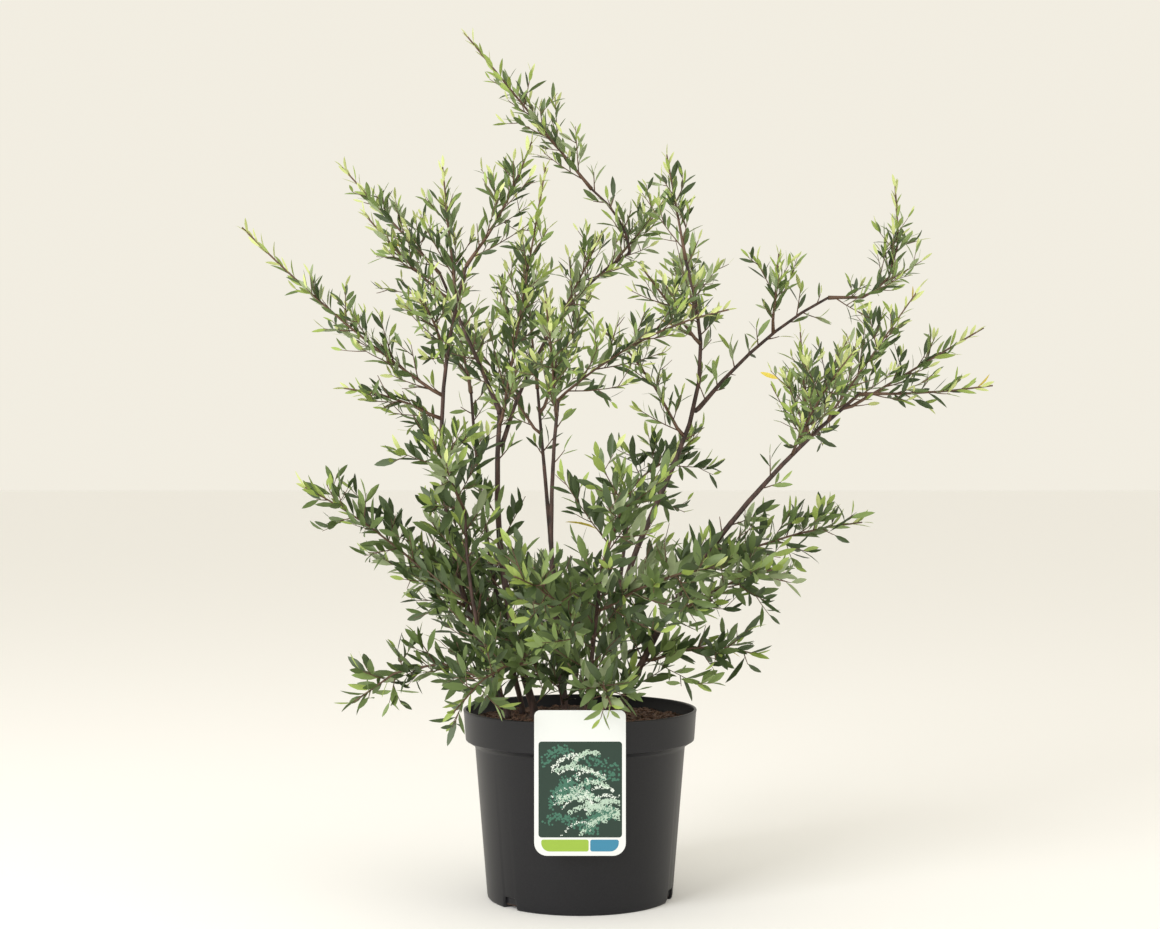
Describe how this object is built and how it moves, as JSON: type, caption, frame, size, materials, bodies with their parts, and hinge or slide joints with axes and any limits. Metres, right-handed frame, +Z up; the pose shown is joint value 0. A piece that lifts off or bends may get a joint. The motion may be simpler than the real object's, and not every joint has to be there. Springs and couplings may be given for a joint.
{
  "type": "potted spirea shrub",
  "caption": "Young many-stemmed deciduous shrub with narrow leaves on arching shoots, in a round tapered nursery pot with a stepped collar and a plain plant label.",
  "frame": {"origin": "middle of the pot's flat underside, on the ground plane", "axes": "+Z up along the pot's axis, -Y towards the label on the front of the pot, +X to the right seen from the front"},
  "size_m": [0.7356, 0.4715, 0.864],
  "materials": {
    "pot_plastic": "satin",
    "compost": "matte",
    "label_card": "satin",
    "bark": "matte",
    "foliage": "matte"
  },
  "bodies": {
    "root": {"pot": "pot_plastic", "soil": "compost", "label": "label_card", "stem_left": "bark", "stem_left_low": "bark", "stem_inner_left": "bark", "stem_thick": "bark", "stem_centre": "bark", "stem_right": "bark", "stem_far_right": "bark", "stem_back": "bark", "stem_back_right": "bark", "stem_front": "bark", "bough_left_leader": "bark", "bough_diagonal": "bark", "bough_top_leader": "bark", "bough_right_reach": "bark", "leaves_far_left": "foliage", "leaves_left_shelf": "foliage", "leaves_left_leader": "foliage", "leaves_second_left": "foliage", "leaves_left_up": "foliage", "leaves_upper_left": "foliage", "leaves_middle": "foliage", "leaves_top": "foliage", "leaves_diagonal_tip": "foliage", "leaves_crown_right": "foliage", "leaves_crown_front": "foliage", "leaves_front_left": "foliage", "leaves_back_up": "foliage", "leaves_back_left": "foliage", "leaves_back_right": "foliage", "leaves_inner_left": "foliage", "leaves_right_top": "foliage", "leaves_gap_left": "foliage", "leaves_right_inner": "foliage", "leaves_right_back": "foliage", "leaves_centre_right": "foliage", "leaves_right_reach": "foliage", "leaves_reach_upright": "foliage", "leaves_far_right_low": "foliage", "leaves_far_right_high": "foliage", "leaves_head_high": "foliage", "leaves_head_left": "foliage", "leaves_head_front": "foliage", "leaves_head_back": "foliage", "leaves_left_mid": "foliage", "leaves_left_low_tip": "foliage", "leaves_right_mid": "foliage", "leaves_front_up": "foliage", "leaves_front_mid": "foliage", "leaves_front_right": "foliage", "leaves_back_mid": "foliage", "leaves_low_back": "foliage", "leaves_low_back_left": "foliage", "leaves_low_left": "foliage", "leaves_low_front_left": "foliage", "leaves_rim_front": "foliage", "leaves_low_right": "foliage", "leaves_low_right_front": "foliage"}
  },
  "joints": []
}
